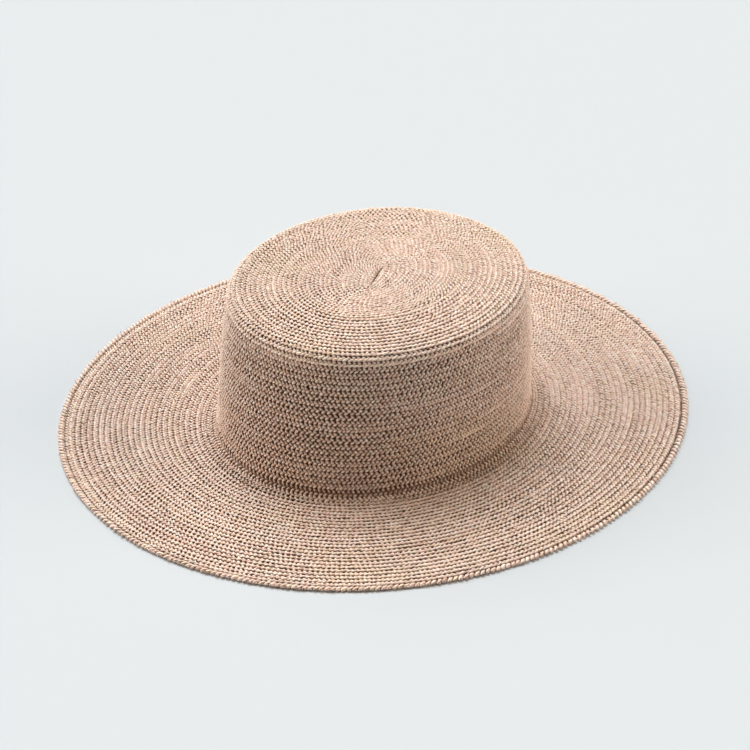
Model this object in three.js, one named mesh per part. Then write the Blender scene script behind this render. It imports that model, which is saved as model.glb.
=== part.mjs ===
import * as THREE from 'three';

// Flat-top straw hat, resting on its rim. Millimetres, +Z up, front to back along Y.
// The origin is under the middle of the brim, on the surface that the hat rests on.

// Ovals of the outer face. length is along Y, width along X, and x and y are the oval's middle.
const TOP_EDGE = { length: 180.4, width: 158.9, x: 3.0, y: -1.0, height: 84.9 };
const CROWN_FOOT = { length: 197.9, width: 167.0, x: 1.0, y: -2.3, height: 3.9 };
const RIM = { length: 375.0, width: 340.9, x: 0, y: 0, height: 2.3 };

// Shape of the outer face between those ovals.
const TOP_DOME = 1.2;
const TOP_EDGE_ROUNDING = 6.5;
const SIDE_BULGE = 1.5;
const FOOT_HOLLOW_UP = 7;
const FOOT_HOLLOW_OUT = 5;

// Plaited straw. Where two pieces are lapped, each one is thinned to a border.
const WALL = 2.3;
const BORDER = 1.0;
const LAP_GAP = 0.3;
const LAP = 2.0;
const RIM_ROUNDING = 0.6;

// Seams, measured along the outer face.
const TOP_SEAM_PAST_EDGE = 1.5;
const FOOT_SEAM_PAST_HOLLOW = 2;
const EDGE_BRAID_WIDTH = 4.8;

const STRAW = { color: 0xc9ac90, roughness: 0.7, metalness: 0 };
const SHADED_STRAW = { color: 0xb0906f, roughness: 0.7, metalness: 0 };

// Facets: steps round each oval, and steps along each stretch of the outer face.
const AROUND = 80;
const STEPS = { dome: 3, topEdge: 4, side: 4, hollow: 4, brim: 3, edgeBraid: 1 };

// An oval's mean radius, and how far its half length is beyond it.
const meanRadius = (oval) => (oval.length + oval.width) / 4;
const stretch = (oval) => (oval.length - oval.width) / 4;

// The outer face as one line of mean radius and height, from the middle of the top to the rim.
function outerFace() {
  const edge = new THREE.Vector2(meanRadius(TOP_EDGE), TOP_EDGE.height);
  const foot = new THREE.Vector2(meanRadius(CROWN_FOOT), CROWN_FOOT.height);
  const rim = new THREE.Vector2(meanRadius(RIM), RIM.height);
  const braid = new THREE.Vector2(rim.x - EDGE_BRAID_WIDTH, rim.y);
  const towards = (from, to, distance) => from.clone().lerp(to, distance / from.distanceTo(to));

  const middle = new THREE.Vector2(0, edge.y + TOP_DOME);
  const domeEnd = new THREE.Vector2(edge.x - TOP_EDGE_ROUNDING, edge.y);
  const sideStart = towards(edge, foot, TOP_EDGE_ROUNDING);
  const sideEnd = towards(foot, edge, FOOT_HOLLOW_UP);
  const brimStart = towards(foot, braid, FOOT_HOLLOW_OUT);
  const bulge = sideStart.clone().lerp(sideEnd, 0.5);
  bulge.x += SIDE_BULGE;

  const line = new THREE.Path();
  line.moveTo(middle.x, middle.y);
  line.quadraticCurveTo(domeEnd.x / 2, middle.y, domeEnd.x, domeEnd.y);
  line.quadraticCurveTo(edge.x, edge.y, sideStart.x, sideStart.y);
  line.quadraticCurveTo(bulge.x, bulge.y, sideEnd.x, sideEnd.y);
  line.quadraticCurveTo(foot.x, foot.y, brimStart.x, brimStart.y);
  line.lineTo(braid.x, braid.y);
  line.lineTo(rim.x, rim.y);
  return line;
}

const face = outerFace();
const curveEnds = face.getCurveLengths();
const [domeEnd, topEdgeEnd, sideEnd, hollowEnd, brimEnd, rimEnd] = curveEnds;

// The ovals along the outer face.
const station = (distance, oval) => ({ distance, stretch: stretch(oval), x: oval.x, y: oval.y });
const OVALS = [
  { ...station(0, TOP_EDGE), stretch: 0 },
  station((domeEnd + topEdgeEnd) / 2, TOP_EDGE),
  station((sideEnd + hollowEnd) / 2, CROWN_FOOT),
  station(brimEnd, RIM),
  station(rimEnd, RIM),
];

function ovalAt(distance) {
  const after = Math.max(1, OVALS.findIndex((oval) => oval.distance >= distance));
  const [from, to] = [OVALS[after - 1], OVALS[after]];
  const share = (distance - from.distance) / (to.distance - from.distance);
  const mix = (name) => THREE.MathUtils.lerp(from[name], to[name], share);
  return { stretch: mix('stretch'), x: mix('x'), y: mix('y') };
}

// A ring of a wall, by its distance along the outer face and its depth under it.
function ringAt({ distance, depth }) {
  const point = face.getPoint(distance / rimEnd);
  const along = face.getTangent(distance / rimEnd);
  return {
    radius: point.x + along.y * depth,
    height: point.y - along.x * depth,
    ...ovalAt(distance),
  };
}

// The rings that a smooth stretch of wall needs between two distances.
const ringDistances = Object.values(STEPS).flatMap((steps, curve) => {
  const start = curve === 0 ? 0 : curveEnds[curve - 1];
  return Array.from({ length: steps }, (_, step) => start + ((curveEnds[curve] - start) * step) / steps);
});

function ringsBetween(from, to, depth) {
  const inside = ringDistances.filter((distance) => distance > from + LAP_GAP && distance < to - LAP_GAP);
  return inside.map((distance) => ({ distance, depth }));
}

// Borders run from the outer face to the inner one. outwards is 1 where the piece ends at the seam
// on its way to the rim, and -1 where it starts there.
function borderOver(seam, outwards) {
  return [
    { distance: seam, depth: 0 },
    { distance: seam, depth: BORDER },
    { distance: seam - outwards * LAP, depth: BORDER },
    { distance: seam - outwards * LAP, depth: WALL },
  ];
}

function borderUnder(seam, outwards) {
  const outerStop = seam - outwards * LAP_GAP;
  const innerStop = seam + outwards * (LAP - LAP_GAP);
  return [
    { distance: outerStop, depth: 0 },
    { distance: outerStop, depth: BORDER + LAP_GAP },
    { distance: innerStop, depth: BORDER + LAP_GAP },
    { distance: innerStop, depth: WALL },
  ];
}

function roundedRim() {
  return [
    { distance: rimEnd - RIM_ROUNDING, depth: 0 },
    { distance: rimEnd, depth: RIM_ROUNDING },
    { distance: rimEnd, depth: WALL - RIM_ROUNDING },
    { distance: rimEnd - RIM_ROUNDING, depth: WALL },
  ];
}

// The closed outline of a wall, from its border nearer the top to its border nearer the rim.
function wallOutline(start, end) {
  const outer = ringsBetween(start[0].distance, end[0].distance, 0);
  const inner = ringsBetween(start.at(-1).distance, end.at(-1).distance, WALL);
  return [...start.toReversed(), ...outer, ...end, ...inner.toReversed(), start.at(-1)];
}

// An outline turned round the hat's axis, each of its rings stretched to its oval.
function ovalWall(name, straw, outline) {
  const rings = outline.map(ringAt).toReversed();
  const profile = rings.map((ring) => new THREE.Vector2(ring.radius, ring.height));
  const geometry = new THREE.LatheGeometry(profile, AROUND);
  const position = geometry.getAttribute('position');
  for (let index = 0; index < position.count; index += 1) {
    const ring = rings[index % rings.length];
    const angle = (Math.floor(index / rings.length) * 2 * Math.PI) / AROUND;
    const x = ring.x + (ring.radius - ring.stretch) * Math.cos(angle);
    const y = ring.y + (ring.radius + ring.stretch) * Math.sin(angle);
    position.setXYZ(index, x, y, ring.height);
  }
  geometry.computeVertexNormals();
  const mesh = new THREE.Mesh(geometry, new THREE.MeshStandardMaterial(straw));
  mesh.name = name;
  return mesh;
}

const topSeam = topEdgeEnd + TOP_SEAM_PAST_EDGE;
const footSeam = hollowEnd + FOOT_SEAM_PAST_HOLLOW;
const edgeSeam = rimEnd - EDGE_BRAID_WIDTH;

function crownTop() {
  const end = borderOver(topSeam, 1);
  const outer = ringsBetween(0, end[0].distance, 0);
  const inner = ringsBetween(0, end.at(-1).distance, WALL);
  const middle = { distance: 0, depth: 0 };
  const middleInside = { distance: 0, depth: WALL };
  return ovalWall('crown_top', STRAW, [middle, ...outer, ...end, ...inner.toReversed(), middleInside]);
}

function crownSide() {
  const outline = wallOutline(borderUnder(topSeam, -1), borderOver(footSeam, 1));
  return ovalWall('crown_side', SHADED_STRAW, outline);
}

function brim() {
  return ovalWall('brim', STRAW, wallOutline(borderUnder(footSeam, -1), borderUnder(edgeSeam, 1)));
}

function edgeBraid() {
  return ovalWall('edge_braid', STRAW, wallOutline(borderOver(edgeSeam, -1), roundedRim()));
}

const hat = new THREE.Group();
hat.add(crownTop(), crownSide(), brim(), edgeBraid());

export default hat;
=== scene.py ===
"""Looks of the flat-top straw hat: rows of plaited straw, strand by strand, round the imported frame.

Shapes are worked out in millimetres and become metres when a mesh is made.
A place on the hat is given as three numbers: its distance along the outer face from the middle of
the top, its angle round the hat, and its depth under the outer face.
"""

import math

import bpy
import numpy as np
from mathutils import Matrix, Vector


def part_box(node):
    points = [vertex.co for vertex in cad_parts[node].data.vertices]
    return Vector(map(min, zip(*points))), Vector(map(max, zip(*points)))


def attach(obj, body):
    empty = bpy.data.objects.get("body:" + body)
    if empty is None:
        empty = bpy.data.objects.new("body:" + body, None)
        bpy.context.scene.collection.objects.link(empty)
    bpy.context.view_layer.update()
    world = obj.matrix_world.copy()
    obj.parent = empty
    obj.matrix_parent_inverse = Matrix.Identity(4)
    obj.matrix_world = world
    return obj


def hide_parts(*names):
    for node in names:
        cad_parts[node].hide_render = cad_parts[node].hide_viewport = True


MM = 0.001
SEED = 4

# Ovals of the outer face, as in the CAD: length along Y, width along X, middle and height.
TOP_EDGE = {"length": 180.4, "width": 158.9, "x": 3.0, "y": -1.0, "height": 84.9}
CROWN_FOOT = {"length": 197.9, "width": 167.0, "x": 1.0, "y": -2.3, "height": 3.9}
TOP_DOME = 1.2
TOP_EDGE_ROUNDING = 6.5
SIDE_BULGE = 1.5
FOOT_HOLLOW_UP = 7.0
FOOT_HOLLOW_OUT = 5.0
WALL = 2.3
TOP_SEAM_PAST_EDGE = 1.5
FOOT_SEAM_PAST_HOLLOW = 2.0
EDGE_BRAID_WIDTH = 4.8
EDGE_BEAD_WIDTH = 3.6
LAST_ROW_BEFORE_RIM = 5.45
CURVE_STEPS = 80

# The eye of the top's spiral is a slit, this long and turned this far from Y. The rows further out
# than this are in line with Y again. At the slit's ends a row would have no length for a turn of its
# angle, so its length for each radian is at least LEAST_SPEED.
EYE_LENGTH = 24.0
EYE_TURN = math.radians(10)
EYE_TURN_ENDS = 36.0
LEAST_SPEED = 1.2

# The braid is sewn as one spiral from the eye to the rim. The distance between its rows, at
# distances along the outer face.
ROW_PITCHES = (
    (6, 2.25), (43, 2.25), (49, 2.9), (78, 2.95), (83, 3.4), (156, 3.35), (170, 3.05), (245, 3.32),
)
USUAL_PITCH = 3.1
FIRST_ROW = 0.5
FIRST_ANGLE = math.radians(100)
STEPS_A_TURN = 720

# On the top, rows lie nearer the middle towards the front, most of all halfway out.
SWAY = 3.8
SWAY_PEAK = 46.0
SWAY_TOWARDS = math.radians(295)

# The braid's end goes in under the edge braid: the last turn stays at one distance and sinks.
END_SINK = 0.9

# Grooves round the crown's foot and inside the edge braid. Their places are measured from the side's
# end and from the rim. In them the strands are lower by depth, and darker by shade, which is painted
# shade. At the eye they are higher instead, which closes the slit to a thin line, and lighter, with
# less painted shade. flat_share is what is left of a groove's depth and painted shade where the rows
# are pressed flat.
EYE_SEAM = {"half_width": 1.1, "depth": -0.8, "shade": -0.3, "flat_share": 1.0}
FOOT_GROOVE = {"past_side": 5.2, "half_width": 0.6, "depth": 0.7, "shade": 1.3, "flat_share": 0.4}
EDGE_GROOVE = {"before_rim": 4.0, "half_width": 0.6, "depth": 0.6, "shade": 0.9, "flat_share": 0.2}

# Rows lie fullest towards this side of the hat, and are pressed flattest on the opposite side. The
# painted shade of seams and grooves is also strongest towards this side and weakest opposite it.
FULLEST_AND_SHADIEST_TOWARDS = math.radians(318)

# Distance between the strands of a row, and how much it drifts over so many stitches.
STITCH = 2.58
EDGE_STITCH = 2.96
STITCH_DRIFT = 0.1
STITCHES_ALIKE = 9

# How uneven the strands are, as one standard deviation. length, width and thickness are shares,
# roll and slant are degrees, and the others millimetres.
UNEVEN = {
    "length": 0.04, "width": 0.07, "thickness": 0.08, "roll": 16.0, "slant": 4.0, "along": 0.1,
    "across": 0.08, "depth": 0.08,
}

# Every so many strands come from the same straw, which lasts for some of them and is then replaced.
# Tones are those of whole straws and of single strands.
STRAWS_IN_BRAID = 5
SHORTEST_STRAW = 8
LONGEST_STRAW = 30
STRAW_TONE = 0.75
STRAND_TONE = 0.65

# A strand's rings from its inner end to its outer end: share of the length, of the width and of the
# thickness, and how much painted shade its upper face has there.
OUTER_RINGS = ((0.12, 0.8, 0.75, 0.5), (0.5, 1.0, 1.0, 0.0), (0.88, 0.85, 0.8, 0.35))
INNER_RINGS = ((0.12, 0.8, 0.75, 0.6), (0.5, 1.0, 1.0, 0.1), (0.88, 0.85, 0.8, 0.4))
SIDE_RINGS = ((0.12, 0.8, 0.75, 1.0), (0.5, 1.0, 1.0, 0.0), (0.88, 0.85, 0.8, 0.75))
EDGE_RINGS = (
    (0.06, 0.7, 0.7, 0.6), (0.28, 0.95, 0.95, 0.1), (0.5, 1.0, 1.0, 0.0), (0.72, 0.95, 0.95, 0.1),
    (0.94, 0.7, 0.7, 0.6),
)

# A strand's section: the side by the seam between rows, the upper ridge, the other side and the
# lower ridge. Each has its place across and up, and its painted shade beside what the ring has.
SECTION = ((1.0, -0.1, 1.15), (0.0, 1.0, 0.0), (-1.0, -0.1, 0.6), (0.0, -1.0, 1.0))

# Painted shade at a strand's two tips, and how far along the straw its fibres may start.
TIP_SHADE = 0.9
GRAIN_START = 100

# Strands of a row. The outer ones end in the row's outer edge and lie on the next row, and the
# inner ones slant the other way and go in under the row before. shift is outwards from the row's
# middle, ahead is along the row as a share of a stitch, depth is that of the strand's middle, rise
# is how much higher its outer end is, and arch is how much lower both ends are than the middle. The
# last two numbers are painted shade: how dark its sides are, and how much darker its inner end is
# where rows lie full.
# A pair of numbers is for where the rows are pressed flat and where they lie full. On the side of the
# crown the strands are raised evenly, so the rows show less there.
OUTER_STRAND = {
    "rings": OUTER_RINGS, "slant": (32.0, 20.0), "length": (3.2, 4.0), "width": (1.6, 1.7),
    "thickness": (1.3, 1.22), "shift": (0.78, 0.85), "ahead": 0.0, "depth": (0.63, 0.54),
    "rise": (0.15, 0.22), "arch": (0.57, 0.43), "painted_side_shade": 0.65, "seam": 0.0,
}
INNER_STRAND = {
    "rings": INNER_RINGS, "slant": (140.0, 142.0), "length": (3.1, 3.0), "width": 1.65,
    "thickness": 1.28, "shift": (-0.7, -0.65), "ahead": 0.5, "depth": (0.77, 1.0),
    "rise": (0.33, 0.8), "arch": (0.54, 0.5), "painted_side_shade": 0.8, "seam": 1.3,
}
SIDE_OUTER_STRAND = {
    "rings": SIDE_RINGS, "slant": 36.0, "length": 3.1, "width": 1.7, "thickness": 1.35,
    "shift": 0.75, "ahead": 0.0, "depth": 0.66, "rise": 0.1, "arch": 0.6, "painted_side_shade": 1.2, "seam": 0.0,
}
SIDE_INNER_STRAND = {
    "rings": SIDE_RINGS, "slant": 142.0, "length": 3.1, "width": 1.7, "thickness": 1.35,
    "shift": -0.75, "ahead": 0.5, "depth": 0.8, "rise": 0.25, "arch": 0.6, "painted_side_shade": 1.2, "seam": 0.9,
}
EDGE_OVER = {
    "rings": EDGE_RINGS, "slant": 42.0, "length": 4.9, "width": 2.1, "thickness": 1.2,
    "shift": 0.0, "ahead": 0.0, "depth": 0.62, "rise": 0.0, "arch": 0.8, "painted_side_shade": 0.8, "seam": 0.0,
}
EDGE_UNDER = {
    "rings": EDGE_RINGS, "slant": 138.0, "length": 4.9, "width": 2.1, "thickness": 1.2,
    "shift": 0.0, "ahead": 0.5, "depth": 1.62, "rise": 0.0, "arch": -0.7, "painted_side_shade": 1.0, "seam": 0.0,
}

ROW_STRANDS = (OUTER_STRAND, INNER_STRAND)
SIDE_STRANDS = (SIDE_OUTER_STRAND, SIDE_INNER_STRAND)

# The end of the brim's core, past the edge braid's seam.
CORE_PAST_SEAM = 1

# Where the brim's rows are parted into pieces, as shares of the way from its start to its end.
BRIM_PARTINGS = (0.3, 0.55, 0.78)

# The core that closes the holes between strands. Its colour is painted shade.
CORE_DEPTHS = (1.6, 1.85)
CORE_AROUND = 180
CORE_STEP = 4.0

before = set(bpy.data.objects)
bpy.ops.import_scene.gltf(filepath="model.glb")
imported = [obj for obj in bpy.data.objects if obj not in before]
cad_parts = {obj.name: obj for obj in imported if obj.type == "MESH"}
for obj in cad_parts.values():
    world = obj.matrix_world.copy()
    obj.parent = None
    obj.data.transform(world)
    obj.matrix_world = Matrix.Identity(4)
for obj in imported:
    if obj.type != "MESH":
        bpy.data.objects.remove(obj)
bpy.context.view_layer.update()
random = np.random.default_rng(SEED)


def oval_numbers(oval):
    """An oval's mean radius, and how far its half length is beyond it."""
    return (oval["length"] + oval["width"]) / 4, (oval["length"] - oval["width"]) / 4


def rim_oval():
    """The rim's oval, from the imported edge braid."""
    low, high = (np.array(corner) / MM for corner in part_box("edge_braid"))
    width, length = (high - low)[:2]
    x, y = (high + low)[:2] / 2
    return {"length": length, "width": width, "x": x, "y": y, "height": WALL}


def quadratic(start, control, end):
    """Points of a quadratic curve, without its first one."""
    share = np.linspace(0, 1, CURVE_STEPS + 1)[1:, None]
    return (1 - share) ** 2 * start + 2 * share * (1 - share) * control + share**2 * end


RIM = rim_oval()


class OuterFace:
    """The hat's outer face as a line of mean radius and height, and the ovals along it."""

    def __init__(self):
        top_radius, top_stretch = oval_numbers(TOP_EDGE)
        foot_radius, foot_stretch = oval_numbers(CROWN_FOOT)
        rim_radius, rim_stretch = oval_numbers(RIM)
        edge = np.array([top_radius, TOP_EDGE["height"]])
        foot = np.array([foot_radius, CROWN_FOOT["height"]])
        rim = np.array([rim_radius, RIM["height"]])
        braid = rim - [EDGE_BRAID_WIDTH, 0]

        def towards(start, end, distance):
            return start + (end - start) * distance / np.linalg.norm(end - start)

        middle = np.array([0, edge[1] + TOP_DOME])
        dome_end = edge - [TOP_EDGE_ROUNDING, 0]
        side_start = towards(edge, foot, TOP_EDGE_ROUNDING)
        side_end = towards(foot, edge, FOOT_HOLLOW_UP)
        brim_start = towards(foot, braid, FOOT_HOLLOW_OUT)
        bulge = (side_start + side_end) / 2 + [SIDE_BULGE, 0]
        curves = [
            quadratic(middle, np.array([dome_end[0] / 2, middle[1]]), dome_end),
            quadratic(dome_end, edge, side_start),
            quadratic(side_start, bulge, side_end),
            quadratic(side_end, foot, brim_start),
            quadratic(brim_start, (brim_start + braid) / 2, braid),
            quadratic(braid, (braid + rim) / 2, rim),
        ]
        self.line = np.vstack([middle, *curves])
        steps = np.linalg.norm(np.diff(self.line, axis=0), axis=1)
        self.distances = np.concatenate([[0], np.cumsum(steps)])
        ends = self.distances[np.cumsum([len(curve) for curve in curves])]
        self.dome_end, self.top_edge_end, self.side_end, self.hollow_end, self.brim_end, self.rim = ends
        self.top_seam = self.top_edge_end + TOP_SEAM_PAST_EDGE
        self.foot_seam = self.hollow_end + FOOT_SEAM_PAST_HOLLOW
        self.edge_seam = self.rim - EDGE_BRAID_WIDTH
        self.eye = EYE_LENGTH / 4
        self.grooves = (
            (EYE_SEAM, self.eye),
            (FOOT_GROOVE, self.side_end + FOOT_GROOVE["past_side"]),
            (EDGE_GROOVE, self.rim - EDGE_GROOVE["before_rim"]),
        )

        # On the top, the ovals shrink to the slit that the braid starts from.
        top_middle = (self.dome_end + self.top_edge_end) / 2
        foot_middle = (self.side_end + self.hollow_end) / 2
        self.stations = np.array([self.eye, top_middle, foot_middle, self.brim_end])
        self.stretches = np.array([self.eye, top_stretch, foot_stretch, rim_stretch])
        self.middles_x = np.array([TOP_EDGE["x"], TOP_EDGE["x"], CROWN_FOOT["x"], RIM["x"]])
        self.middles_y = np.array([TOP_EDGE["y"], TOP_EDGE["y"], CROWN_FOOT["y"], RIM["y"]])

    def section(self, distance):
        """Radius, height and the line's direction at a distance along the face."""
        half_step = 0.2
        radius = np.interp(distance, self.distances, self.line[:, 0])
        height = np.interp(distance, self.distances, self.line[:, 1])
        ahead = [np.interp(distance + half_step, self.distances, self.line[:, axis]) for axis in (0, 1)]
        behind = [np.interp(distance - half_step, self.distances, self.line[:, axis]) for axis in (0, 1)]
        outwards, upwards = ahead[0] - behind[0], ahead[1] - behind[1]
        length = np.maximum(np.hypot(outwards, upwards), 1e-6)
        past_rim = np.maximum(distance - self.rim, 0)
        return radius + past_rim, height, outwards / length, upwards / length

    def place(self, distance, angle, depth):
        """Points in the hat's frame, in millimetres."""
        radius, height, outwards, upwards = self.section(distance)
        radius = radius + upwards * depth
        height = height - outwards * depth
        stretch = np.interp(distance, self.stations, self.stretches)
        x = np.interp(distance, self.stations, self.middles_x)
        y = np.interp(distance, self.stations, self.middles_y)
        across, along = (radius - stretch) * np.cos(angle), (radius + stretch) * np.sin(angle)
        turn = np.interp(distance, (self.eye, EYE_TURN_ENDS), (EYE_TURN, 0))
        x = x + across * np.cos(turn) - along * np.sin(turn)
        y = y + across * np.sin(turn) + along * np.cos(turn)
        return np.stack(np.broadcast_arrays(x, y, height), axis=-1)

    def speed(self, distance, angle):
        """Millimetres along a row for each radian of angle."""
        radius = np.interp(distance, self.distances, self.line[:, 0])
        stretch = np.interp(distance, self.stations, self.stretches)
        along = np.hypot((radius - stretch) * np.sin(angle), (radius + stretch) * np.cos(angle))
        return np.maximum(along, LEAST_SPEED)


face = OuterFace()


def row_pitch(distance):
    """Distance from a row to the next one."""
    places, pitches = zip(*ROW_PITCHES)
    return np.interp(distance, places, pitches)


def swayed(distance, angle):
    """Where a row that is a distance out on the whole lies at an angle."""
    share = np.interp(distance, (face.eye, SWAY_PEAK, face.dome_end), (0, 1, 0))
    off_front = angle - SWAY_TOWARDS
    return distance - SWAY * share * (np.cos(off_front) + np.cos(2 * off_front)) / 2


def uneven_steps(length, step):
    """Places a step apart along a length, with steps that grow and shrink a little on the way."""
    count = round(length / step)
    stretches = 1 + STITCH_DRIFT * random.normal(0, 1, count // STITCHES_ALIKE + 2)
    steps = np.interp(np.arange(count) / STITCHES_ALIKE, np.arange(len(stretches)), stretches)
    places = np.cumsum(steps) - steps / 2
    return places * length / np.sum(steps)


class Row:
    """Stitch places along the spiral, wound outwards clockwise as seen from above."""

    def __init__(self, start, end, stitch):
        middles = [start]
        while middles[-1] < end + row_pitch(end):
            middles.append(middles[-1] + row_pitch(middles[-1]) / STEPS_A_TURN)
        middles = np.array(middles)
        turns = np.arange(len(middles)) / STEPS_A_TURN
        angles = FIRST_ANGLE - turns * 2 * np.pi
        past_end = np.maximum(0, middles - end)
        middles = middles - past_end
        distances = swayed(middles, angles)
        next_distances = swayed(middles + np.where(past_end > 0, 0, row_pitch(middles)), angles)
        points = face.place(distances, angles, WALL / 2)
        lengths = np.concatenate([[0], np.cumsum(np.linalg.norm(np.diff(points, axis=0), axis=1))])
        stitches = uneven_steps(lengths[-1], stitch)
        self.stitch = stitch
        self.distance = np.interp(stitches, lengths, distances)
        self.angle = np.interp(stitches, lengths, angles)
        self.pitch = np.interp(stitches, lengths, next_distances - distances)
        self.spread = np.sqrt(np.where(self.pitch > 0, self.pitch, USUAL_PITCH) / USUAL_PITCH)
        self.sink = END_SINK * np.interp(stitches, lengths, past_end) / row_pitch(end)

    def part(self, start, end):
        """The stitches between two distances, as a copy."""
        inside = (self.distance >= start) & (self.distance < end)
        piece = object.__new__(Row)
        piece.stitch = self.stitch
        for name in ("distance", "angle", "pitch", "spread", "sink"):
            setattr(piece, name, getattr(self, name)[inside])
        return piece


class Ring(Row):
    """Stitch places along one closed round."""

    def __init__(self, middle, stitch):
        angles = FIRST_ANGLE - np.linspace(0, 2 * np.pi, 2 * STEPS_A_TURN + 1)
        points = face.place(middle, angles, WALL / 2)
        lengths = np.concatenate([[0], np.cumsum(np.linalg.norm(np.diff(points, axis=0), axis=1))])
        stitches = uneven_steps(lengths[-1], stitch)
        self.stitch = stitch
        self.angle = np.interp(stitches, lengths, angles)
        self.distance = np.full(len(stitches), middle)
        self.pitch = np.zeros(len(stitches))
        self.spread = np.ones(len(stitches))
        self.sink = np.zeros(len(stitches))


def straw_tones(count):
    """Tone and tint of each strand."""
    tone, tint = np.zeros(count), np.zeros(count)
    for first in range(STRAWS_IN_BRAID):
        of_straw = np.arange(first, count, STRAWS_IN_BRAID)
        lives = random.integers(SHORTEST_STRAW, LONGEST_STRAW, size=len(of_straw) // SHORTEST_STRAW + 2)
        straw = np.repeat(np.arange(len(lives)), lives)[: len(of_straw)]
        tone[of_straw] = random.normal(0, 1, len(lives))[straw]
        tint[of_straw] = random.normal(0, 1, len(lives))[straw]
    tone = STRAW_TONE * tone + STRAND_TONE * random.normal(0, 1, count)
    return tone, tint


def new_mesh(name, vertices, quads, triangles, attributes):
    """A smooth mesh object, from arrays in millimetres."""
    mesh = bpy.data.meshes.new(name)
    mesh.vertices.add(len(vertices))
    mesh.vertices.foreach_set("co", (vertices * MM).astype(np.float32).ravel())
    loops = np.concatenate([quads.ravel(), triangles.ravel()]).astype(np.int32)
    sizes = np.concatenate([np.full(len(quads), 4), np.full(len(triangles), 3)])
    starts = np.concatenate([[0], np.cumsum(sizes)[:-1]]).astype(np.int32)
    mesh.loops.add(len(loops))
    mesh.loops.foreach_set("vertex_index", loops)
    mesh.polygons.add(len(sizes))
    mesh.polygons.foreach_set("loop_start", starts)
    mesh.polygons.foreach_set("use_smooth", np.ones(len(sizes), dtype=bool))
    for attribute_name, values in attributes.items():
        kind, field = ("FLOAT", "value") if values.ndim == 1 else ("FLOAT_VECTOR", "vector")
        attribute = mesh.attributes.new(attribute_name, kind, "POINT")
        attribute.data.foreach_set(field, values.astype(np.float32).ravel())
    mesh.update()
    mesh.validate()
    piece = bpy.data.objects.new(name, mesh)
    bpy.context.scene.collection.objects.link(piece)
    return piece


def strand_template(rings, painted_side_shade):
    """One strand of unit size: its points, quads and triangles, and the painted shade of each point."""
    points, painted_shades = [(-0.5, 0.0, 0.0)], [TIP_SHADE]
    for share, width, thickness, shade in rings:
        points += [(share - 0.5, across * width / 2, up * thickness / 2) for across, up, _ in SECTION]
        painted_shades += [max(shade, painted_side_shade * painted_shade) for _, _, painted_shade in SECTION]
    points.append((0.5, 0.0, 0.0))
    painted_shades.append(TIP_SHADE)
    sides = len(SECTION)
    quads, triangles = [], []
    for side in range(sides):
        after = (side + 1) % sides
        for ring in range(len(rings) - 1):
            first = 1 + ring * sides
            quads.append((first + side, first + after, first + sides + after, first + sides + side))
        last = 1 + (len(rings) - 1) * sides
        triangles.append((0, 1 + after, 1 + side))
        triangles.append((len(points) - 1, last + side, last + after))
    return np.array(points), np.array(quads), np.array(triangles), np.array(painted_shades)


def strands(row, strand):
    """The strands of one kind along a row: vertices, quads, triangles and attributes.

    Strands are pressed flat where they lie on the surface under the hat.
    """
    points, quads, triangles, painted_shades = strand_template(strand["rings"], strand["painted_side_shade"])
    count = len(row.distance)
    fullness_and_shade = ((1 + np.cos(row.angle[:, None] - FULLEST_AND_SHADIEST_TOWARDS)) / 2) ** 2

    def uneven(name):
        return UNEVEN[name] * random.normal(0, 1, (count, 1))

    def size(name):
        flat, full = np.broadcast_to(strand[name], 2)
        return flat + (full - flat) * fullness_and_shade

    along = points[None, :, 0] * size("length") * (1 + uneven("length"))
    flat_across = points[None, :, 1] * size("width") * (1 + uneven("width"))
    flat_up = points[None, :, 2] * size("thickness") * (1 + uneven("thickness"))
    roll = np.radians(uneven("roll"))
    across = flat_across * np.cos(roll) - flat_up * np.sin(roll)
    up = flat_across * np.sin(roll) + flat_up * np.cos(roll)
    slant = np.radians(size("slant") + uneven("slant"))
    on_row = -along * np.cos(slant) + across * np.sin(slant)
    on_row = on_row + strand["ahead"] * row.stitch + uneven("along")
    off_row = along * np.sin(slant) + across * np.cos(slant) + size("shift")
    off_row = off_row * row.spread[:, None] + uneven("across")
    end_share = 2 * along / size("length")
    depth = size("depth") - size("rise") * end_share / 2 + size("arch") * end_share**2 - up
    depth = depth + uneven("depth") + row.sink[:, None]

    turn = on_row / face.speed(row.distance, row.angle)[:, None]
    distance = row.distance[:, None] + off_row - row.pitch[:, None] * turn / (2 * np.pi)
    # Painted shade: a strand's inner end is darker where it goes under the row before, most towards one
    # side.
    shade = strand["seam"] * fullness_and_shade * np.clip(-end_share, 0, 1)
    # Painted shade in the grooves, and less of it at the eye.
    for groove, middle in face.grooves:
        in_groove = np.exp(-(((distance - middle) / groove["half_width"]) ** 2))
        in_groove = in_groove * (groove["flat_share"] + (1 - groove["flat_share"]) * fullness_and_shade)
        depth = depth + groove["depth"] * in_groove
        shade = shade + groove["shade"] * in_groove
    vertices = face.place(distance, row.angle[:, None] + turn, depth).reshape(-1, 3)
    vertices[:, 2] = np.maximum(vertices[:, 2], 0)

    offsets = (np.arange(count) * len(points))[:, None, None]
    shape = (count, len(points))
    tone, tint = straw_tones(count)
    grain_along = along + random.uniform(0, GRAIN_START, (count, 1))
    attributes = {
        "tone": np.broadcast_to(tone[:, None], shape).ravel(),
        "tint": np.broadcast_to(tint[:, None], shape).ravel(),
        "painted_shade": (painted_shades[None] + shade).ravel(),
        "grain": np.stack([grain_along, flat_across, flat_up], axis=-1).reshape(-1, 3),
    }
    all_quads = (quads[None] + offsets).reshape(-1, 4)
    all_triangles = (triangles[None] + offsets).reshape(-1, 3)
    return vertices, all_quads, all_triangles, attributes


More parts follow.
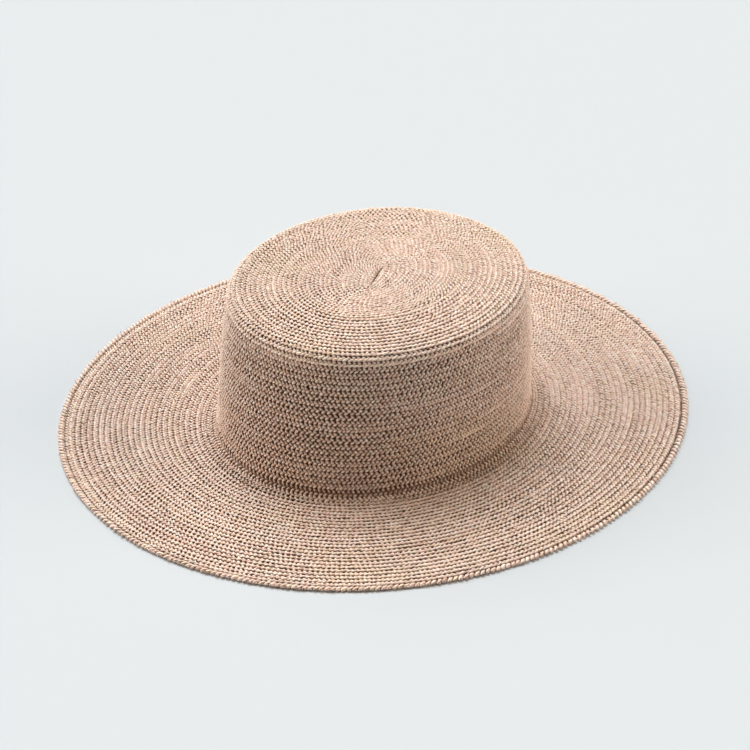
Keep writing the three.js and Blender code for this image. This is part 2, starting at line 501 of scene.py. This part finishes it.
def braid(name, row, *kinds):
    """One mesh of all kinds of strands along a row."""
    parts = [strands(row, kind) for kind in kinds]
    firsts = np.cumsum([0] + [len(vertices) for vertices, _, _, _ in parts])
    vertices = np.concatenate([part[0] for part in parts])
    quads = np.concatenate([part[1] + first for part, first in zip(parts, firsts)])
    triangles = np.concatenate([part[2] + first for part, first in zip(parts, firsts)])
    attributes = {key: np.concatenate([part[3][key] for part in parts]) for key in parts[0][3]}
    return new_mesh(name, vertices, quads, triangles, attributes)


def core(name, start, end):
    """A thin closed wall inside the strands, between two distances."""
    steps = max(2, int((end - start) / CORE_STEP))
    distances = np.linspace(start, end, steps + 1)
    outline = [(distance, CORE_DEPTHS[0]) for distance in distances]
    outline += [(distance, CORE_DEPTHS[1]) for distance in distances[::-1]]
    outline = np.array(outline)
    angles = np.linspace(0, 2 * np.pi, CORE_AROUND, endpoint=False)
    vertices = face.place(outline[None, :, 0], angles[:, None], outline[None, :, 1]).reshape(-1, 3)
    sides = len(outline)
    around, side = np.meshgrid(np.arange(CORE_AROUND), np.arange(sides), indexing="ij")
    next_around, next_side = (around + 1) % CORE_AROUND, (side + 1) % sides
    quads = np.stack(
        [
            around * sides + side,
            around * sides + next_side,
            next_around * sides + next_side,
            next_around * sides + side,
        ],
        axis=-1,
    ).reshape(-1, 4)
    return new_mesh(name, vertices, quads, np.zeros((0, 3), dtype=int), {})


class Shader:
    """A material's node tree, with short calls for its nodes."""

    def __init__(self, name):
        self.material = bpy.data.materials.new(name)
        self.material.use_nodes = True
        self.tree = self.material.node_tree
        self.principled = self.tree.nodes["Principled BSDF"]

    def node(self, kind, inputs=None, **settings):
        made = self.tree.nodes.new(kind)
        for setting, value in settings.items():
            setattr(made, setting, value)
        for socket, value in (inputs or {}).items():
            self.put(made.inputs[socket], value)
        return made

    def put(self, socket, value):
        """Sets a socket to a number or colour, or links it to another socket."""
        if isinstance(value, bpy.types.NodeSocket):
            self.tree.links.new(value, socket)
        else:
            socket.default_value = value

    def attribute(self, name, output="Fac"):
        return self.node("ShaderNodeAttribute", attribute_name=name).outputs[output]

    def math(self, operation, first, second):
        return self.node("ShaderNodeMath", {0: first, 1: second}, operation=operation).outputs[0]

    def scaled(self, value, old_range, new_range):
        """A value carried over from one range to another, whose ends it stops at."""
        (low, high), (new_low, new_high) = old_range, new_range
        inputs = {"Value": value, "From Min": low, "From Max": high, "To Min": new_low, "To Max": new_high}
        return self.node("ShaderNodeMapRange", inputs).outputs["Result"]

    def mixed(self, share, first, second):
        """A mix of two colours. The node's sockets for colours come after those for other kinds."""
        node = self.node("ShaderNodeMix", data_type="RGBA")
        self.put(node.inputs[0], share)
        self.put(node.inputs[6], first)
        self.put(node.inputs[7], second)
        return node.outputs[2]

    def ramp(self, value, stops):
        node = self.node("ShaderNodeValToRGB", {"Fac": value})
        elements = node.color_ramp.elements
        while len(elements) < len(stops):
            elements.new(0.5)
        for element, (position, colour) in zip(elements, stops):
            element.position = position
            element.color = (*colour, 1)
        return node.outputs["Color"]

    def noise(self, vector, scale, detail):
        inputs = {"Vector": vector, "Scale": scale, "Detail": detail}
        return self.node("ShaderNodeTexNoise", inputs).outputs["Fac"]


STRAW_STOPS = (
    (0.0, (0.42, 0.265, 0.185)),
    (0.3, (0.72, 0.497, 0.39)),
    (0.6, (0.9, 0.678, 0.577)),
    (1.0, (0.98, 0.85, 0.765)),
)
PINK_STRAW = (0.95, 0.64, 0.56, 1)
YELLOW_STRAW = (0.9, 0.71, 0.47, 1)
GREY_STRAW = (0.76, 0.66, 0.58, 1)
# Painted shade: the dark reddish brown of straw in shadow, mixed in between strands and in grooves.
PAINTED_SHADE_BROWN = (0.2, 0.09, 0.045, 1)
# Painted shade: the dark browns of the core behind the strands, as straw in shadow.
SHADED_STOPS = ((0.3, (0.1, 0.05, 0.028)), (0.7, (0.24, 0.13, 0.075)))

# Fibres: how their noise is stretched along a strand, the range of that noise, and the ranges of
# tone and roughness that it becomes.
FIBRE_STRETCH = (0.35, 6.0, 1.0)
FIBRE_NOISE = (0.3, 0.7)
FIBRE_TONE = (-0.09, 0.09)
FIBRE_ROUGHNESS = (0.3, 0.5)

# A strand's tone becomes a place in STRAW_STOPS, and its tint a share of pink or yellow straw.
TONE_RANGE = (-2.2, 2.2)
TONE_PLACES = (0.3, 1.04)
PINK_TINTS = (0.2, 2.0)
YELLOW_TINTS = (-0.2, -2.0)
TINT_SHARES = (0.0, 0.5)

# Patches of greyer and of yellower straw: scale and detail of their noise, the range of that noise,
# and the shares of their colour that it becomes.
PATCHES = (
    {"scale": 28.0, "detail": 2.0, "noise": (0.52, 0.72), "shares": (0.0, 0.3), "colour": GREY_STRAW},
    {"scale": 17.0, "detail": 1.0, "noise": (0.55, 0.75), "shares": (0.0, 0.25), "colour": YELLOW_STRAW},
)

# Painted shade: how dark a point is where the dark brown starts to be mixed in and where there is most of
# it, and how much that is.
PAINTED_SHADE_RANGE = (0.3, 1.8)
MOST_PAINTED_SHADE_IN_ROWS = 0.95
MOST_PAINTED_SHADE_AT_RIM = 0.6


def straw_material(name, most_painted_shade):
    """Split straw: each strand its own tone, fine fibres along it, painted shade where strands meet."""
    shader = Shader(name)
    tone = shader.attribute("tone")
    tint = shader.attribute("tint")
    grain = shader.attribute("grain", "Vector")
    position = shader.node("ShaderNodeTexCoord").outputs["Object"]

    stretched = shader.node("ShaderNodeMapping", {"Vector": grain, "Scale": FIBRE_STRETCH})
    fibres = shader.noise(stretched.outputs["Vector"], scale=1.0, detail=3.0)
    fibre_tone = shader.scaled(fibres, FIBRE_NOISE, FIBRE_TONE)
    strand_tone = shader.scaled(tone, TONE_RANGE, TONE_PLACES)
    base = shader.ramp(shader.math("ADD", strand_tone, fibre_tone), STRAW_STOPS)

    pink_share = shader.scaled(tint, PINK_TINTS, TINT_SHARES)
    yellow_share = shader.scaled(tint, YELLOW_TINTS, TINT_SHARES)
    base = shader.mixed(pink_share, base, PINK_STRAW)
    base = shader.mixed(yellow_share, base, YELLOW_STRAW)
    for patches in PATCHES:
        noise = shader.noise(position, patches["scale"], patches["detail"])
        share = shader.scaled(noise, patches["noise"], patches["shares"])
        base = shader.mixed(share, base, patches["colour"])
    # Painted shade: dark brown mixed in where strands meet, at their ends and tips, and in grooves.
    painted_shade_share = shader.scaled(shader.attribute("painted_shade"), PAINTED_SHADE_RANGE, (0.0, most_painted_shade))
    base = shader.mixed(painted_shade_share, base, PAINTED_SHADE_BROWN)

    principled = shader.principled
    shader.put(principled.inputs["Base Color"], base)
    shader.put(principled.inputs["Roughness"], shader.scaled(fibres, FIBRE_NOISE, FIBRE_ROUGHNESS))
    shader.put(principled.inputs["Specular IOR Level"], 0.45)
    bump = shader.node("ShaderNodeBump", {"Height": fibres, "Strength": 0.35, "Distance": 0.0002})
    shader.put(principled.inputs["Normal"], bump.outputs["Normal"])
    return shader.material


def core_material():
    """The straw behind the strands, coloured with painted shade as dark as straw in shadow."""
    shader = Shader("straw_in_shade")
    position = shader.node("ShaderNodeTexCoord").outputs["Object"]
    mottle = shader.noise(position, scale=900.0, detail=2.0)
    base = shader.ramp(mottle, SHADED_STOPS)
    shader.put(shader.principled.inputs["Base Color"], base)
    shader.put(shader.principled.inputs["Roughness"], 0.8)
    return shader.material


def fitted(piece, material, slot, *nodes):
    """Gives a piece its material and body, and hides the CAD nodes that it stands for. slot is not used."""
    piece.data.materials.append(material)
    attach(piece, "root")
    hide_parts(*nodes)


def build_hat():
    straw = straw_material("plaited_straw", MOST_PAINTED_SHADE_IN_ROWS)
    edge_straw = straw_material("edge_straw", MOST_PAINTED_SHADE_AT_RIM)
    shade = core_material()
    row = Row(face.eye + FIRST_ROW, face.rim - LAST_ROW_BEFORE_RIM, STITCH)
    top_end = face.top_seam
    side_end = face.foot_seam
    brim_partings = side_end + (face.edge_seam - side_end) * np.array(BRIM_PARTINGS)
    limits = {
        "crown_top": [0, top_end],
        "crown_side": [top_end, (top_end + side_end) / 2, side_end],
        "brim": [side_end, *brim_partings, face.rim],
    }
    for node, borders in limits.items():
        for number, (start, end) in enumerate(zip(borders, borders[1:]), 1):
            kinds = SIDE_STRANDS if node == "crown_side" else ROW_STRANDS
            piece = braid(f"{node}_braid_{number}", row.part(start, end), *kinds)
            fitted(piece, straw, "straw_braid", node)
    edge_ring = Ring(face.rim - EDGE_BEAD_WIDTH / 2, EDGE_STITCH)
    edge = braid("edge_braid_strands", edge_ring, EDGE_OVER, EDGE_UNDER)
    fitted(edge, edge_straw, "straw_edge", "edge_braid")

    fitted(core("crown_top_core", face.eye, face.top_seam), shade, "straw_braid", "crown_top")
    fitted(core("crown_side_core", face.top_seam, face.foot_seam), shade, "straw_braid", "crown_side")
    fitted(core("brim_core", face.foot_seam, face.edge_seam + CORE_PAST_SEAM), shade, "straw_braid", "brim")


# The photo's camera, fitted to the hat's outline. Degrees, and metres from the crown's foot.
CAMERA_TURN = 28.88
CAMERA_ELEVATION = 30.47
CAMERA_AIM_UP = 0.64
CAMERA_ROLL = -0.32
CAMERA_DISTANCE = 1.7786
CAMERA_PIVOT = Vector((0.0009, -0.00175, 0.0))
CAMERA_LENS_PER_WIDTH = 3200 / 750


def make_camera():
    turn = Matrix.Rotation(math.radians(CAMERA_TURN), 3, "Z")
    elevation = math.radians(CAMERA_ELEVATION)
    aim = math.radians(CAMERA_AIM_UP) - elevation
    back = Vector((0, -math.cos(elevation), math.sin(elevation)))
    forward = turn @ Vector((0, math.cos(aim), math.sin(aim)))
    level_right = turn @ Vector((1, 0, 0))
    level_up = level_right.cross(forward)
    roll = math.radians(CAMERA_ROLL)
    right = math.cos(roll) * level_right + math.sin(roll) * level_up
    up = math.cos(roll) * level_up - math.sin(roll) * level_right

    camera = bpy.data.cameras.new("camera")
    camera.sensor_width = 36
    camera.lens = camera.sensor_width * CAMERA_LENS_PER_WIDTH
    camera.clip_end = 100
    seen = bpy.data.objects.new("camera", camera)
    axes = Matrix((right, up, -forward)).transposed().to_4x4()
    seen.matrix_world = Matrix.Translation(CAMERA_PIVOT + turn @ back * CAMERA_DISTANCE) @ axes
    bpy.context.scene.collection.objects.link(seen)
    bpy.context.scene.camera = seen


# Soft light from behind, with weaker light from both sides and a little from in front. Degrees, in
# the camera's frame: 0 is from the right and 90 from behind. Spread is the source's width in the sky.
WARM = (1.0, 0.9, 0.78)
COOL = (0.93, 0.99, 1.0)
DEEP = (1.0, 0.7, 0.4)
LIGHTS = (
    {"name": "behind", "azimuth": 98, "elevation": 62, "spread": 34, "strength": 2.35, "colour": COOL},
    {"name": "behind_low", "azimuth": 105, "elevation": 42, "spread": 35, "strength": 0.85, "colour": COOL},
    {"name": "behind_left", "azimuth": 145, "elevation": 36, "spread": 40, "strength": 0.95, "colour": COOL},
    {"name": "left", "azimuth": 182, "elevation": 20, "spread": 50, "strength": 1.7, "colour": WARM},
    {"name": "right", "azimuth": 358, "elevation": 20, "spread": 50, "strength": 1.95, "colour": WARM},
    {"name": "front", "azimuth": 270, "elevation": 15, "spread": 90, "strength": 0.07, "colour": DEEP},
)
FILL = {"colour": (1.0, 0.8, 0.55, 1), "strength": 0.05}
FLOOR_COLOUR = (0.565, 0.585, 0.615, 1)
FLOOR_HALF = 6000.0


def make_light():
    for light in LIGHTS:
        sun = bpy.data.lights.new(light["name"], "SUN")
        sun.angle = math.radians(light["spread"])
        sun.energy = light["strength"]
        sun.color = light["colour"]
        lamp = bpy.data.objects.new(light["name"], sun)
        azimuth = math.radians(light["azimuth"] + CAMERA_TURN)
        elevation = math.radians(light["elevation"])
        level = math.cos(elevation)
        source = Vector((math.cos(azimuth) * level, math.sin(azimuth) * level, math.sin(elevation)))
        lamp.rotation_euler = source.to_track_quat("Z", "Y").to_euler()
        bpy.context.scene.collection.objects.link(lamp)
    world = bpy.data.worlds.new("studio")
    world.use_nodes = True
    background = world.node_tree.nodes["Background"]
    background.inputs["Color"].default_value = FILL["colour"]
    background.inputs["Strength"].default_value = FILL["strength"]
    bpy.context.scene.world = world


def make_floor():
    shader = Shader("pale_floor")
    shader.put(shader.principled.inputs["Base Color"], FLOOR_COLOUR)
    shader.put(shader.principled.inputs["Roughness"], 0.9)
    signs = np.array([(-1, -1, 0), (1, -1, 0), (1, 1, 0), (-1, 1, 0)])
    corners = signs * FLOOR_HALF
    floor = new_mesh("floor", corners, np.array([[0, 1, 2, 3]]), np.zeros((0, 3), dtype=int), {})
    floor.data.materials.append(shader.material)


make_camera()
make_light()
make_floor()
build_hat()
bpy.context.scene.view_settings.view_transform = "Standard"
